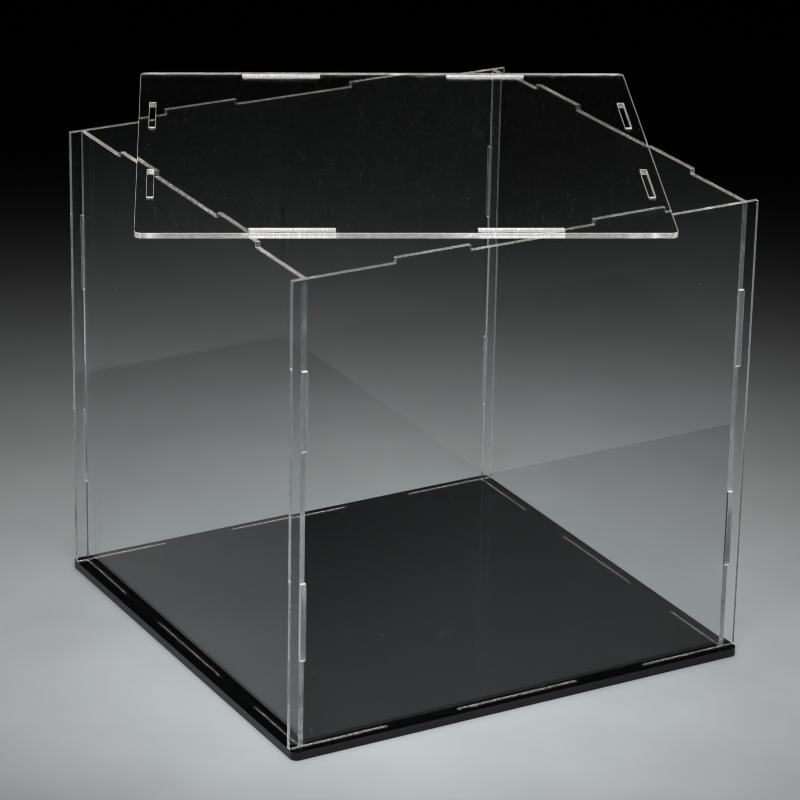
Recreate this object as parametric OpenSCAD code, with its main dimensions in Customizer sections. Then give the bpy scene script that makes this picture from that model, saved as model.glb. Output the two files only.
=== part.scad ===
// Square display case of clear sheet on a black base, held together by tabs and slots.
// The origin is at the middle of the base's underside, the front is at -Y and up is +Z.

/* [Case] */
// Length of the front and back panels, the base and the lid
case_w = 280; // [230:1:400]
// Depth over the outer faces of the front and back panels
case_d = 268; // [230:1:400]
// Height of the walls between the base and the lid
wall_h = 262; // [230:1:400]
// How far the front and back panels reach past the side panels
overhang = 6; // [4:0.5:12]

/* [Sheet] */
// Thickness of the clear walls and lid
sheet_t = 3; // [2:0.5:4]
// Thickness of the black base
base_t = 5; // [3:0.5:8]

/* [Base and lid] */
// How far the base and the lid reach past the front and back panels
rim = 4.5; // [3:0.5:12]
// Radius of the corners of the base and the lid
corner_r = 4; // [1:0.5:10]

/* [Tabs] */
// Length of every tab along its edge
tab_len = 44; // [20:1:60]
// From the middle of an edge to the middle of each of its two tabs
tab_offset = 59; // [35:1:75]
// How far the bottom tabs stop short of the base's underside
tab_recess = 0.2; // [0:0.1:1]

/* [Slots] */
// Clearance on each side of a tab in a slot of the walls
wall_gap = 0.1; // [0.05:0.05:0.3]
// Clearance on each side of a tab in a slot of the base
base_gap = 0.15; // [0.1:0.05:0.3]
// Clearance on each side of a tab in a slot of the lid
lid_gap = 0.3; // [0.15:0.05:0.5]

/* [Lid lying askew] */
// Turn of the lid about the vertical
lid_turn = -26.3; // [-30:0.1:-20]
// Place of the lid's middle to the right of the case's middle
lid_x = -0.3; // [-3:0.1:3]
// Place of the lid's middle behind the case's middle
lid_y = 13.2; // [8:0.1:16]

/* [Hidden] */
clear_sheet = [0.86, 0.92, 0.93, 0.3];
black_sheet = [0.03, 0.03, 0.035];

// Middle planes of the side panels and of the front and back panels
side_x = case_w / 2 - overhang - sheet_t / 2;
front_y = case_d / 2 - sheet_t / 2;

// The bottom tabs fill the base's slots and the top tabs fill the lid's
bottom_tab = base_t - tab_recess;
top_tab = sheet_t;

// The lid lies on the ends of the top tabs
lid_z = base_t + wall_h + top_tab;

corner_fn = 48;

// Two tabs or slots stand at the same places either side of the middle of every edge
module pair_along_x() {
    for (side = [-1, 1]) translate([side * tab_offset, 0]) children();
}

module pair_along_y() {
    for (side = [-1, 1]) translate([0, side * tab_offset]) children();
}

// A bar as high as the wall and both its tabs adds one bottom tab and one top tab
module upright_tabs() {
    pair_along_x()
        translate([-tab_len / 2, -bottom_tab]) square([tab_len, bottom_tab + wall_h + top_tab]);
}

// Outline of a front or back panel, with the slots that take the side panels' tabs
module long_wall_outline() {
    difference() {
        union() {
            translate([-case_w / 2, 0]) square([case_w, wall_h]);
            upright_tabs();
        }
        for (side = [-1, 1])
            translate([side * side_x, wall_h / 2]) pair_along_y()
                square([sheet_t + 2 * wall_gap, tab_len + 2 * wall_gap], center = true);
    }
}

// Outline of a side panel, whose end tabs come flush with the long walls' outer faces
module side_wall_outline() {
    inner_len = case_d - 2 * sheet_t;
    translate([-inner_len / 2, 0]) square([inner_len, wall_h]);
    upright_tabs();
    translate([0, wall_h / 2]) pair_along_y() square([case_d, tab_len], center = true);
}

// A wall outline cut from the clear sheet and stood up on the base, across the Y axis
module standing_sheet() {
    translate([0, sheet_t / 2, base_t]) rotate([90, 0, 0]) linear_extrude(sheet_t) children();
}

module rounded_rectangle(w, d, r) {
    square([w - 2 * r, d], center = true);
    square([w, d - 2 * r], center = true);
    for (sx = [-1, 1], sy = [-1, 1])
        translate([sx * (w / 2 - r), sy * (d / 2 - r)]) circle(r, $fn = corner_fn);
}

// A plate with two slots over each wall
module slotted_plate(thickness, gap) {
    slot_len = tab_len + 2 * gap;
    slot_w = sheet_t + 2 * gap;
    linear_extrude(thickness) difference() {
        rounded_rectangle(case_w, case_d + 2 * rim, corner_r);
        for (side = [-1, 1]) {
            translate([0, side * front_y]) pair_along_x() square([slot_len, slot_w], center = true);
            translate([side * side_x, 0]) pair_along_y() square([slot_w, slot_len], center = true);
        }
    }
}

module base() {
    color(black_sheet) slotted_plate(base_t, base_gap);
}

module front_panel() {
    color(clear_sheet) translate([0, -front_y, 0]) standing_sheet() long_wall_outline();
}

module back_panel() {
    color(clear_sheet) translate([0, front_y, 0]) standing_sheet() long_wall_outline();
}

module left_panel() {
    color(clear_sheet) translate([-side_x, 0, 0]) rotate([0, 0, 90]) standing_sheet() side_wall_outline();
}

module right_panel() {
    color(clear_sheet) translate([side_x, 0, 0]) rotate([0, 0, 90]) standing_sheet() side_wall_outline();
}

module lid() {
    color(clear_sheet) translate([lid_x, lid_y, lid_z]) rotate([0, 0, lid_turn]) slotted_plate(sheet_t, lid_gap);
}

base();
front_panel();
back_panel();
left_panel();
right_panel();
lid();
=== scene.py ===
"""Looks of a clear display case: laser-cut acrylic sheets on a black gloss base, lid lying askew on top.

All lengths are in metres. The origin is at the middle of the base's underside, front at -Y, +Z up.
"""

from math import cos, radians, sin

import bmesh
import bpy
from mathutils import Matrix, Vector
from mathutils.bvhtree import BVHTree


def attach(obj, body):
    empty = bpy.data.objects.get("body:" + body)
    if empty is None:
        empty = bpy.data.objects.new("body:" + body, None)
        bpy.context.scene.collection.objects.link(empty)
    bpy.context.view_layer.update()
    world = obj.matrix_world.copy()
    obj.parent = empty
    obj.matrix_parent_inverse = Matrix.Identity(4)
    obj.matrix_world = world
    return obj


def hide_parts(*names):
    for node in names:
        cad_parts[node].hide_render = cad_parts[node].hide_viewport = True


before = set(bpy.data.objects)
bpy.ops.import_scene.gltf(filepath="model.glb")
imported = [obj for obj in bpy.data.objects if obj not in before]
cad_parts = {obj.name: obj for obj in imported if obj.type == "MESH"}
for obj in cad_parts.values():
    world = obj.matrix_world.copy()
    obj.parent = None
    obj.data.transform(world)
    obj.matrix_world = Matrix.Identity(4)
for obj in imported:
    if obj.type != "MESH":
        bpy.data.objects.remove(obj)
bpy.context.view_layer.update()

# Camera, fitted to the photograph's angle
LENS = 169.58
TARGET = Vector((-0.0094, -0.0144, 0.1360))
DISTANCE = 2.0836
AZIMUTH = radians(29.613)
ELEVATION = radians(22.118)
ROLL = radians(1.107)
FARTHEST_SEEN = 50

# Shape of a cut sheet
WELD = 1e-6
FLAT_ANGLE = radians(0.5)
SHARP_ANGLE = radians(30)
ARRIS = 0.00012
AIR_FILM = 0.00002

# How a face is told by the way it faces, by its area, and by a ray that starts a skin above it
BROAD_FACE = 0.999
EDGE_FACE = 0.1
LEVEL_FACE = 0.7
BACKWARD_FACE = 0.7
SMALL_FACE = 0.00003
LARGE_FACE = 0.0005
SKIN = 0.00001
SLOT_REACH = 0.05

# Clear acrylic, and what it leaves of the light that shines straight through a face
ACRYLIC_IOR = 1.49
DUST_FILM = 0.0006
POLISHED_TINT = (0.985, 0.993, 0.996, 1)
SHINES_THROUGH = (0.94, 0.955, 0.95, 1)

# Dust: how much rarer large specks are than small ones, and how dull a speck makes a clear face
LARGE_ARE_RARE = 3.0
DUST_ROUGHNESS = 0.5
SPECK_SPACING = 0.007
SPECK_SIZE = 0.035
GRAIN_SPACING = 0.0018

# Share of its cell that the largest grain of fine dust takes, on the upright walls and on the level lid
WALL_DUST = 0.075
LID_DUST = 0.11

# Laser marks: spacing of the finest, then of all three waves in that spacing with each one's detail
WALL_PITCH = 0.0004
LID_PITCH = 0.0005
BASE_PITCH = 0.0004
LASER_WAVES = ((1, 1.0), (5, 2.0), (66, 1.0))
COARSE_HEIGHT = 0.15
FINE_FROST = 0.8
COARSE_FROST = 0.1
SLOW_FROST = 0.1
FROST_FROM = 0.3
FROST_TO = 0.7
MARK_STRETCH = 0.04
CLEAR_MARK_STRENGTH = 0.3
CLEAR_MARK_DEPTH = 0.0001
BLACK_MARK_STRENGTH = 0.4
BLACK_MARK_DEPTH = 0.0002

# Tints of the cut faces, and how much darker their clearest marks are; PLAIN is the acrylic's own tint,
# the warm, cool and rosy ones are painted colour of the light on each edge
PLAIN = (1.0, 0.99, 0.97)
PAINTED_WARM_LIGHT = (1.0, 0.95, 0.89)
PAINTED_COOL_LIGHT = (0.92, 0.98, 1.0)
PAINTED_ROSY_LIGHT = (1.0, 0.95, 0.98)
MARK_SHADE = 0.82

# Kinds of face, and the kind whose finish each takes where a sheet has none for it
LIKE_KIND = {
    "slot": "small upright",
    "slot start": "small upright",
    "slot end": "small upright",
    "small upright": "upright",
    "foot arris": "arris",
    "arris": "upright",
}

# Clearness, least roughness, most roughness and tint of the laser-cut faces
# Each wall's top edge has its own clearness and tint: lit and shaded copies of one finish, painted light
# and shade, the left wall's more frosted and brighter, the right wall's clearer and dimmer
TOP_EDGE = {
    "front_panel": (0.9, 0.12, 0.26, PLAIN),
    "back_panel": (0.92, 0.12, 0.26, PAINTED_WARM_LIGHT),
    "left_panel": (0.87, 0.12, 0.26, PAINTED_WARM_LIGHT),
    "right_panel": (0.96, 0.1, 0.22, PAINTED_WARM_LIGHT),
}
SIDE_EDGE = (0.8, 0.1, 0.2, PAINTED_COOL_LIGHT)
FOOT_EDGE = (0.93, 0.06, 0.16, PLAIN)
FOOT_ARRIS = (0.9, 0.2, 0.3, PLAIN)
TAB_EDGE = (0.93, 0.03, 0.08, PAINTED_COOL_LIGHT)
# Tab ends are frosted nearly white so that they show as bright caps: a painted highlight
TAB_END_PAINTED_HIGHLIGHT = (0.25, 0.2, 0.35, PLAIN)
WALL_ARRIS = (0.8, 0.2, 0.3, PLAIN)
LID_EDGE = (0.8, 0.18, 0.27, PLAIN)
LID_ARRIS = (0.35, 0.25, 0.4, PAINTED_WARM_LIGHT)
LID_SLOT = (0.42, 0.2, 0.3, PAINTED_ROSY_LIGHT)
LID_SLOT_END = (0.93, 0.05, 0.15, PAINTED_COOL_LIGHT)
# Backward-facing slot ends are made nearly opaque white: a painted highlight
LID_SLOT_START_PAINTED_HIGHLIGHT = (0.03, 0.25, 0.35, PLAIN)

# Black acrylic
BLACK_GLOSS = (0.003, 0.003, 0.0035, 1)
BLACK_GLOSS_ROUGHNESS = 0.06
BLACK_CUT = (0.006, 0.006, 0.007, 1)
BLACK_CUT_ROUGHNESS = 0.2
BLACK_SPECK = (0.08, 0.08, 0.08, 1)
BLACK_SPECK_SPACING = 0.006
BLACK_SPECK_SIZE = 0.06

# Floor, and the painted pool of light round the case, whose axes are the camera's right and ahead
FLOOR_SIZE = 12
FLOOR_ROUGHNESS = 0.9
FLOOR_RED = 0.95
FLOOR_BLUE = 1.04
CLOUD_SCALE = 14.0
CLOUD_DETAIL = 4.0
CLOUD_DARK = 0.9
CLOUD_PALE = 1.1
FLOOR_PALE = 0.544
FLOOR_DARK = 0.0008
PATCH_RIGHT = -0.003
PATCH_AHEAD = -0.083
PATCH_WIDTH = 0.18
PATCH_BEHIND = 0.419
PATCH_BEFORE = 0.245
PATCH_FADE = 2.37
PATCH_TAIL = 0.43
PATCH_TURN = radians(4.4)

# Softboxes: name, place, aim, width, depth, watts and colour
WARM_LIGHT = (1.0, 0.93, 0.84)
PLAIN_LIGHT = (1.0, 1.0, 1.0)
COOL_LIGHT = (0.93, 0.97, 1.0)
SOFTBOXES = [
    ("key_softbox", (-0.35, -0.85, 1.15), (0, 0, 0.1), 0.9, 0.6, 20, PLAIN_LIGHT),
    ("top_softbox", (0.1, 0.2, 1.35), (0, 0, 0.1), 0.8, 0.8, 6, WARM_LIGHT),
    ("rear_softbox", (0.48, 0.84, 0.95), (0, 0, 0.2), 0.6, 0.3, 3, WARM_LIGHT),
    ("side_softbox", (-1.3, -0.2, 0.9), (0, 0, 0.15), 0.5, 0.5, 3, COOL_LIGHT),
]

# Studio: brightness of its walls and ceiling, and the height where the ceiling's glow starts
DARK_WALLS = 0.004
CEILING_GLOW = 0.12
GLOW_START = 0.45
DISPLAY_GAMMA = 0.88

# Light paths, and the width of the pixel filter
PATH_BOUNCES = 96
SHEETS_CROSSED = 32
CRISP_PIXELS = 1.1

ACROSS_X = Vector((1, 0, 0))
ACROSS_Y = Vector((0, 1, 0))
ACROSS_Z = Vector((0, 0, 1))


def set_camera():
    ahead = Vector((sin(AZIMUTH) * cos(ELEVATION), cos(AZIMUTH) * cos(ELEVATION), -sin(ELEVATION)))
    level_right = ahead.cross(ACROSS_Z).normalized()
    level_up = level_right.cross(ahead)
    right = cos(ROLL) * level_right + sin(ROLL) * level_up
    up = cos(ROLL) * level_up - sin(ROLL) * level_right
    turn = Matrix((right, up, -ahead)).transposed().to_4x4()
    data = bpy.data.cameras.new("camera")
    data.lens = LENS
    data.clip_end = FARTHEST_SEEN
    camera = bpy.data.objects.new("camera", data)
    bpy.context.scene.collection.objects.link(camera)
    camera.matrix_world = Matrix.Translation(TARGET - ahead * DISTANCE) @ turn
    bpy.context.scene.camera = camera


class Shader:
    """A node tree with short calls for adding and joining nodes."""

    def __init__(self, tree):
        self.tree = tree

    def add(self, kind, **settings):
        node = self.tree.nodes.new(kind)
        for key, value in settings.items():
            setattr(node, key, value)
        return node

    def join(self, source, target):
        self.tree.links.new(source, target)

    def math(self, operation, a, b=None, c=None):
        node = self.add("ShaderNodeMath", operation=operation)
        for socket, value in zip(node.inputs, (a, b, c)):
            self.put(value, socket)
        return node.outputs[0]

    def put(self, value, socket):
        """Joins an output to the socket, or sets a plain value on it."""
        if value is None:
            return
        if isinstance(value, bpy.types.NodeSocket):
            self.join(value, socket)
        else:
            socket.default_value = value


def new_group(name, inputs, outputs):
    """An empty shader node group with float or vector sockets, and its input and output nodes."""
    tree = bpy.data.node_groups.new(name, "ShaderNodeTree")
    for socket_name, kind in inputs:
        tree.interface.new_socket(socket_name, in_out="INPUT", socket_type=kind)
    for socket_name, kind in outputs:
        tree.interface.new_socket(socket_name, in_out="OUTPUT", socket_type=kind)
    shader = Shader(tree)
    return shader, shader.add("NodeGroupInput"), shader.add("NodeGroupOutput")


def make_dust_group():
    """Specks of dust: Mask is 1 on a speck."""
    s, given, out = new_group(
        "dust_specks",
        [
            ("Vector", "NodeSocketVector"),
            ("Spacing", "NodeSocketFloat"),
            ("Size", "NodeSocketFloat"),
        ],
        [("Mask", "NodeSocketFloat")],
    )
    scale = s.math("DIVIDE", 1.0, given.outputs["Spacing"])
    cells = s.add("ShaderNodeTexVoronoi", feature="F1")
    s.join(given.outputs["Vector"], cells.inputs["Vector"])
    s.join(scale, cells.inputs["Scale"])
    apart = s.add("ShaderNodeSeparateColor")
    s.join(cells.outputs["Color"], apart.inputs["Color"])
    chance = s.math("POWER", apart.outputs[0], LARGE_ARE_RARE)
    size = s.math("MULTIPLY", chance, given.outputs["Size"])
    s.join(s.math("LESS_THAN", cells.outputs["Distance"], size), out.inputs["Mask"])
    return s.tree


def make_laser_group():
    """Marks that a laser leaves on a cut edge: fine lines across the thickness, and slower waves."""
    s, given, out = new_group(
        "laser_cut_marks",
        [("Along", "NodeSocketVector"), ("Pitch", "NodeSocketFloat")],
        [("Height", "NodeSocketFloat"), ("Frost", "NodeSocketFloat")],
    )
    waves = []
    for pitches, detail in LASER_WAVES:
        noise = s.add("ShaderNodeTexNoise", noise_dimensions="3D")
        noise.inputs["Detail"].default_value = detail
        s.join(given.outputs["Along"], noise.inputs["Vector"])
        s.join(s.math("DIVIDE", 1 / pitches, given.outputs["Pitch"]), noise.inputs["Scale"])
        waves.append(noise.outputs["Fac"])
    fine, coarse, slow = waves
    s.join(s.math("MULTIPLY_ADD", coarse, COARSE_HEIGHT, fine), out.inputs["Height"])
    fine_part = s.math("MULTIPLY", fine, FINE_FROST)
    both = s.math("MULTIPLY_ADD", coarse, COARSE_FROST, fine_part)
    spread = s.add("ShaderNodeMapRange")
    s.join(s.math("MULTIPLY_ADD", slow, SLOW_FROST, both), spread.inputs["Value"])
    spread.inputs["From Min"].default_value = FROST_FROM
    spread.inputs["From Max"].default_value = FROST_TO
    s.join(spread.outputs["Result"], out.inputs["Frost"])
    return s.tree


def new_material(name):
    """A material with its node helper, a Principled shader and the output."""
    material = bpy.data.materials.new(name)
    material.use_nodes = True
    material.node_tree.nodes.clear()
    s = Shader(material.node_tree)
    principled = s.add("ShaderNodeBsdfPrincipled")
    out = s.add("ShaderNodeOutputMaterial")
    s.join(principled.outputs["BSDF"], out.inputs["Surface"])
    return material, s, principled, out


def place_group(s, tree, **values):
    node = s.add("ShaderNodeGroup", node_tree=tree)
    for key, value in values.items():
        s.put(value, node.inputs[key])
    return node


def cut_marks(s, laser, across, pitch):
    """Laser marks whose lines run across the sheet's thickness."""
    squeeze = s.add("ShaderNodeMapping")
    s.join(s.add("ShaderNodeTexCoord").outputs["Object"], squeeze.inputs["Vector"])
    squeeze.inputs["Scale"].default_value = [MARK_STRETCH if part else 1.0 for part in across]
    return place_group(s, laser, Along=squeeze.outputs["Vector"], Pitch=pitch)


def raise_marks(s, marks, strength, depth, principled):
    """Gives the laser marks a little relief."""
    bump = s.add("ShaderNodeBump")
    bump.inputs["Strength"].default_value = strength
    bump.inputs["Distance"].default_value = depth
    s.join(marks.outputs["Height"], bump.inputs["Height"])
    s.join(bump.outputs["Normal"], principled.inputs["Normal"])


def clear_polished(dust, name, fine_dust):
    """Broad faces of the clear sheet: optically clear, with a little dust. Lamps shine through them."""
    material, s, principled, out = new_material(name)
    place = s.add("ShaderNodeTexCoord").outputs["Object"]
    specks = place_group(s, dust, Vector=place, Spacing=SPECK_SPACING, Size=SPECK_SIZE)
    grains = place_group(s, dust, Vector=place, Spacing=GRAIN_SPACING, Size=fine_dust)
    dusty = s.math("MAXIMUM", specks.outputs["Mask"], grains.outputs["Mask"])
    principled.inputs["Base Color"].default_value = POLISHED_TINT
    principled.inputs["Transmission Weight"].default_value = 1 - DUST_FILM
    principled.inputs["IOR"].default_value = ACRYLIC_IOR
    s.join(s.math("MULTIPLY", dusty, DUST_ROUGHNESS), principled.inputs["Roughness"])
    lamp_light = s.add("ShaderNodeBsdfTransparent")
    lamp_light.inputs["Color"].default_value = SHINES_THROUGH
    path = s.add("ShaderNodeLightPath")
    straight = s.math("MAXIMUM", path.outputs["Is Shadow Ray"], path.outputs["Is Diffuse Ray"])
    either = s.add("ShaderNodeMixShader")
    s.join(straight, either.inputs[0])
    s.join(principled.outputs["BSDF"], either.inputs[1])
    s.join(lamp_light.outputs["BSDF"], either.inputs[2])
    s.join(either.outputs["Shader"], out.inputs["Surface"])
    return material


def clear_cut(laser, across, pitch, name, clearness, rough_from, rough_to, tint):
    """Laser-cut faces of the clear sheet: lightly frosted, with fine lines across the thickness."""
    material, s, principled = new_material(name)[:3]
    marks = cut_marks(s, laser, across, pitch)
    colour = s.add("ShaderNodeMix", data_type="RGBA")
    s.join(marks.outputs["Frost"], colour.inputs["Factor"])
    # Plain tints are the acrylic's own; warm, cool and rosy tints are painted colour of light
    colour.inputs[6].default_value = [MARK_SHADE * part for part in tint] + [1]
    colour.inputs[7].default_value = (*tint, 1)
    s.join(colour.outputs[2], principled.inputs["Base Color"])
    principled.inputs["Transmission Weight"].default_value = clearness
    principled.inputs["IOR"].default_value = ACRYLIC_IOR
    rough = s.math("MULTIPLY_ADD", marks.outputs["Frost"], rough_to - rough_from, rough_from)
    s.join(rough, principled.inputs["Roughness"])
    raise_marks(s, marks, CLEAR_MARK_STRENGTH, CLEAR_MARK_DEPTH, principled)
    return material


def clear_wall(polished, laser, across, name):
    """Finishes of a wall, by the kind of face."""

    def cut(kind, finish):
        return clear_cut(laser, across, WALL_PITCH, name + "_" + kind, *finish)

    return {
        "broad": polished,
        # Each wall's top edge takes its own painted brightness and tint
        "top": cut("top_edge", TOP_EDGE[name]),
        "foot": cut("foot_edge", FOOT_EDGE),
        "tab end": cut("tab_end_painted_highlight", TAB_END_PAINTED_HIGHLIGHT),
        "small upright": cut("tab_edge", TAB_EDGE),
        "upright": cut("side_edge", SIDE_EDGE),
        "arris": cut("arris", WALL_ARRIS),
        "foot arris": cut("foot_arris", FOOT_ARRIS),
    }


def clear_lid(polished, laser):
    """Finishes of the lid, by the kind of face."""

    def cut(kind, finish):
        return clear_cut(laser, ACROSS_Z, LID_PITCH, "lid_" + kind, *finish)

    return {
        "broad": polished,
        "upright": cut("edge", LID_EDGE),
        "slot": cut("slot_wall", LID_SLOT),
        "slot start": cut("slot_start_painted_highlight", LID_SLOT_START_PAINTED_HIGHLIGHT),
        "slot end": cut("slot_end", LID_SLOT_END),
        "arris": cut("arris", LID_ARRIS),
    }


def black_polished(dust):
    """Top and underside of the black base."""
    material, s, principled = new_material("black_acrylic_polished")[:3]
    place = s.add("ShaderNodeTexCoord").outputs["Object"]
    specks = place_group(
        s, dust, Vector=place, Spacing=BLACK_SPECK_SPACING, Size=BLACK_SPECK_SIZE
    )
    colour = s.add("ShaderNodeMix", data_type="RGBA")
    s.join(specks.outputs["Mask"], colour.inputs["Factor"])
    colour.inputs[6].default_value = BLACK_GLOSS
    colour.inputs[7].default_value = BLACK_SPECK
    s.join(colour.outputs[2], principled.inputs["Base Color"])
    principled.inputs["IOR"].default_value = ACRYLIC_IOR
    principled.inputs["Roughness"].default_value = BLACK_GLOSS_ROUGHNESS
    return material


def black_cut(laser):
    """Laser-cut edge of the black base."""
    material, s, principled = new_material("black_acrylic_cut")[:3]
    marks = cut_marks(s, laser, ACROSS_Z, BASE_PITCH)
    principled.inputs["Base Color"].default_value = BLACK_CUT
    principled.inputs["IOR"].default_value = ACRYLIC_IOR
    principled.inputs["Roughness"].default_value = BLACK_CUT_ROUGHNESS
    raise_marks(s, marks, BLACK_MARK_STRENGTH, BLACK_MARK_DEPTH, principled)
    return material


def kind_of_face(face, across, own_shape):
    """What a face of a cut sheet is, from its size, its direction, and whether it faces its own sheet."""
    squareness = abs(face.normal.dot(across))
    if squareness > BROAD_FACE:
        return "broad"
    if squareness > EDGE_FACE:
        return "foot arris" if face.normal.z < -EDGE_FACE else "arris"
    area = face.calc_area()
    if abs(face.normal.z) > LEVEL_FACE and area < SMALL_FACE:
        return "tab end"
    if abs(face.normal.z) > LEVEL_FACE:
        return "top" if face.normal.z > 0 else "foot"
    if own_shape.ray_cast(face.calc_center_median() + face.normal * SKIN, face.normal, SLOT_REACH)[0]:
        if area > SMALL_FACE:
            return "slot"
        # Backward-facing slot ends take the painted highlight finish, the other ends a clear one
        return "slot start" if face.normal.y > BACKWARD_FACE else "slot end"
    return "small upright" if area < LARGE_FACE else "upright"


def cut_sheet(node, across, finishes):
    """A finished copy of a CAD sheet, with its arrises eased and a finish for each kind of face."""
    bm = bmesh.new()
    bm.from_mesh(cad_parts[node].data)
    bmesh.ops.remove_doubles(bm, verts=bm.verts, dist=WELD)
    bmesh.ops.dissolve_limit(bm, angle_limit=FLAT_ANGLE, verts=bm.verts, edges=bm.edges)
    bm.normal_update()
    for vert in bm.verts:
        vert.co -= vert.normal * vert.calc_shell_factor() * AIR_FILM
    rim = [e for e in bm.edges if len(e.link_faces) == 2 and e.calc_face_angle() > SHARP_ANGLE]
    bmesh.ops.bevel(
        bm, geom=rim, offset=ARRIS, segments=2, profile=0.5, affect="EDGES", material=-1
    )
    own_shape = BVHTree.FromBMesh(bm)
    kinds = list(finishes)
    for face in bm.faces:
        kind = kind_of_face(face, across, own_shape)
        while kind not in finishes:
            kind = LIKE_KIND[kind]
        face.material_index = kinds.index(kind)
        face.smooth = False
    mesh = bpy.data.meshes.new(node + "_sheet")
    bm.to_mesh(mesh)
    bm.free()
    for kind in kinds:
        mesh.materials.append(finishes[kind])
    piece = bpy.data.objects.new(node + "_sheet", mesh)
    bpy.context.scene.collection.objects.link(piece)
    return piece


def finish_piece(piece, node, body):
    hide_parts(node)
    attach(piece, body)


def build_case():
    dust = make_dust_group()
    laser = make_laser_group()
    black = {"broad": black_polished(dust), "upright": black_cut(laser)}
    finish_piece(cut_sheet("base", ACROSS_Z, black), "base", "base")
    polished = clear_polished(dust, "clear_acrylic_wall", WALL_DUST)
    for node, across in [
        ("front_panel", ACROSS_Y),
        ("back_panel", ACROSS_Y),
        ("left_panel", ACROSS_X),
        ("right_panel", ACROSS_X),
    ]:
        wall = cut_sheet(node, across, clear_wall(polished, laser, across, node))
        finish_piece(wall, node, "walls")
    dusty_polished = clear_polished(dust, "clear_acrylic_lid", LID_DUST)
    lid = cut_sheet("lid", ACROSS_Z, clear_lid(dusty_polished, laser))
    finish_piece(lid, "lid", "lid")


def painted_light_pool(s, place):
    """Painted pool of light on the floor: 1 at the middle of its patch, 0 far away."""
    patch = s.add("ShaderNodeMapping", vector_type="TEXTURE")
    s.join(place, patch.inputs["Vector"])
    patch.inputs["Location"].default_value = (
        PATCH_RIGHT * cos(AZIMUTH) + PATCH_AHEAD * sin(AZIMUTH),
        PATCH_AHEAD * cos(AZIMUTH) - PATCH_RIGHT * sin(AZIMUTH),
        0,
    )
    patch.inputs["Rotation"].default_value = (0, 0, -AZIMUTH - PATCH_TURN)
    parts = s.add("ShaderNodeSeparateXYZ")
    s.join(patch.outputs["Vector"], parts.inputs["Vector"])
    behind = s.math("DIVIDE", s.math("MAXIMUM", parts.outputs["Y"], 0.0), PATCH_BEHIND)
    before = s.math("DIVIDE", s.math("MINIMUM", parts.outputs["Y"], 0.0), -PATCH_BEFORE)
    depth = s.math("POWER", s.math("ADD", behind, before), PATCH_FADE)
    fade_deep = s.math("EXPONENT", s.math("MULTIPLY", depth, -1.0))
    aside = s.math("DIVIDE", parts.outputs["X"], PATCH_WIDTH)
    spread = s.math("ADD", s.math("MULTIPLY", aside, aside), 1.0)
    fade_aside = s.math("POWER", spread, -PATCH_TAIL)
    return s.math("MULTIPLY", fade_deep, fade_aside)


def floor_paper_with_painted_light():
    """Studio paper with a painted pool of light: pale round the case and graded to dark away from it,
    with a faint cloudiness.
    """
    material, s, principled = new_material("floor_paper_with_painted_light")[:3]
    place = s.add("ShaderNodeTexCoord").outputs["Object"]
    # The pale patch is a painted pool of light, graded to near black away from the case
    fade = painted_light_pool(s, place)
    mottle = s.add("ShaderNodeTexNoise")
    mottle.inputs["Scale"].default_value = CLOUD_SCALE
    mottle.inputs["Detail"].default_value = CLOUD_DETAIL
    s.join(place, mottle.inputs["Vector"])
    cloudy = s.add("ShaderNodeMapRange")
    s.join(mottle.outputs["Fac"], cloudy.inputs["Value"])
    cloudy.inputs["To Min"].default_value = CLOUD_DARK
    cloudy.inputs["To Max"].default_value = CLOUD_PALE
    pale = s.math("MULTIPLY", cloudy.outputs["Result"], FLOOR_PALE)
    grey = s.math("MULTIPLY_ADD", fade, pale, FLOOR_DARK)
    tint = s.add("ShaderNodeCombineColor")
    s.join(s.math("MULTIPLY", grey, FLOOR_RED), tint.inputs[0])
    s.join(grey, tint.inputs[1])
    s.join(s.math("MULTIPLY", grey, FLOOR_BLUE), tint.inputs[2])
    s.join(tint.outputs["Color"], principled.inputs["Base Color"])
    principled.inputs["Roughness"].default_value = FLOOR_ROUGHNESS
    principled.inputs["Specular IOR Level"].default_value = 0.0
    return material


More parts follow.
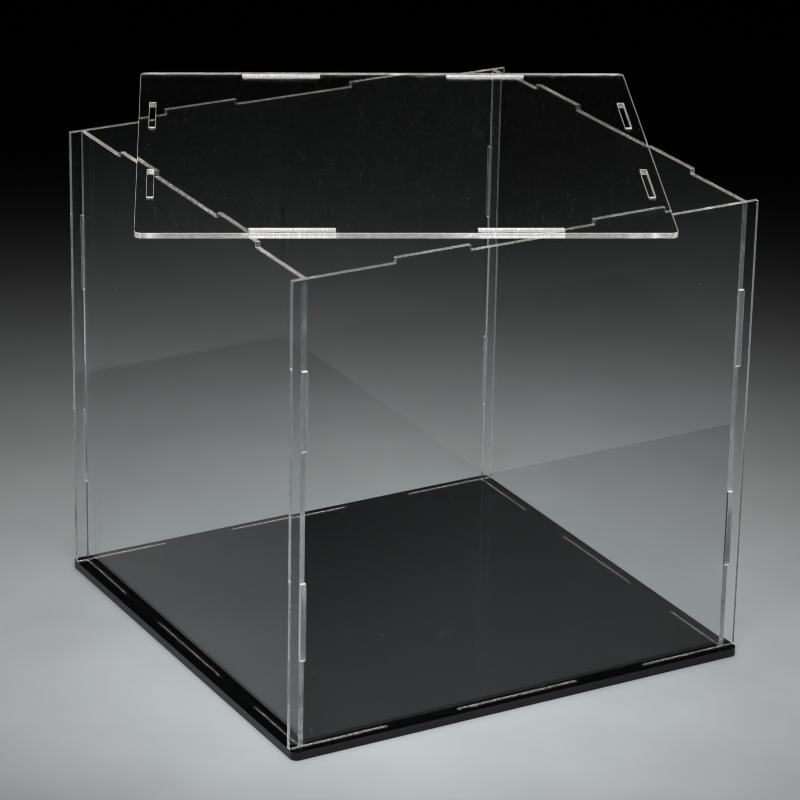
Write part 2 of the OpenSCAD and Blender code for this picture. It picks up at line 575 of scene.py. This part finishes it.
def build_floor():
    bm = bmesh.new()
    bmesh.ops.create_grid(bm, x_segments=1, y_segments=1, size=FLOOR_SIZE)
    mesh = bpy.data.meshes.new("floor")
    bm.to_mesh(mesh)
    bm.free()
    mesh.materials.append(floor_paper_with_painted_light())
    floor = bpy.data.objects.new("floor", mesh)
    bpy.context.scene.collection.objects.link(floor)


def add_softbox(name, place, aim, width, depth, watts, colour):
    """A softbox that isn't mirrored in the near face of a sheet, so that it gives no hard glare."""
    data = bpy.data.lights.new(name, "AREA")
    data.shape = "RECTANGLE"
    data.size = width
    data.size_y = depth
    data.energy = watts
    data.color = colour
    lamp = bpy.data.objects.new(name, data)
    bpy.context.scene.collection.objects.link(lamp)
    lamp.location = place
    lamp.rotation_mode = "QUATERNION"
    lamp.rotation_quaternion = (Vector(aim) - Vector(place)).to_track_quat("-Z", "Y")
    lamp.visible_glossy = False


def set_lights():
    for softbox in SOFTBOXES:
        add_softbox(*softbox)


def set_studio_dark():
    """A dark studio whose ceiling glows faintly, for a soft sheen on level faces."""
    world = bpy.data.worlds.new("studio_dark")
    world.use_nodes = True
    s = Shader(world.node_tree)
    height = s.add("ShaderNodeSeparateXYZ")
    s.join(s.add("ShaderNodeTexCoord").outputs["Generated"], height.inputs["Vector"])
    glow = s.add("ShaderNodeMapRange", interpolation_type="SMOOTHSTEP")
    s.join(height.outputs["Z"], glow.inputs["Value"])
    glow.inputs["From Min"].default_value = GLOW_START
    glow.inputs["To Min"].default_value = DARK_WALLS
    glow.inputs["To Max"].default_value = CEILING_GLOW
    s.join(glow.outputs["Result"], world.node_tree.nodes["Background"].inputs["Color"])
    bpy.context.scene.world = world


def set_tones():
    view = bpy.context.scene.view_settings
    view.view_transform = "Standard"
    view.gamma = DISPLAY_GAMMA


def set_light_paths_and_pixels():
    """Light runs down the inside of a sheet in dozens of reflections before it comes out at an edge.

    The thin bright edges are drawn a little crisper than usual, as in the photograph.
    """
    cycles = bpy.context.scene.cycles
    cycles.max_bounces = PATH_BOUNCES
    cycles.glossy_bounces = PATH_BOUNCES
    cycles.transmission_bounces = PATH_BOUNCES
    cycles.transparent_max_bounces = SHEETS_CROSSED
    cycles.filter_width = CRISP_PIXELS


set_camera()
build_case()
build_floor()
set_lights()
set_studio_dark()
set_tones()
set_light_paths_and_pixels()
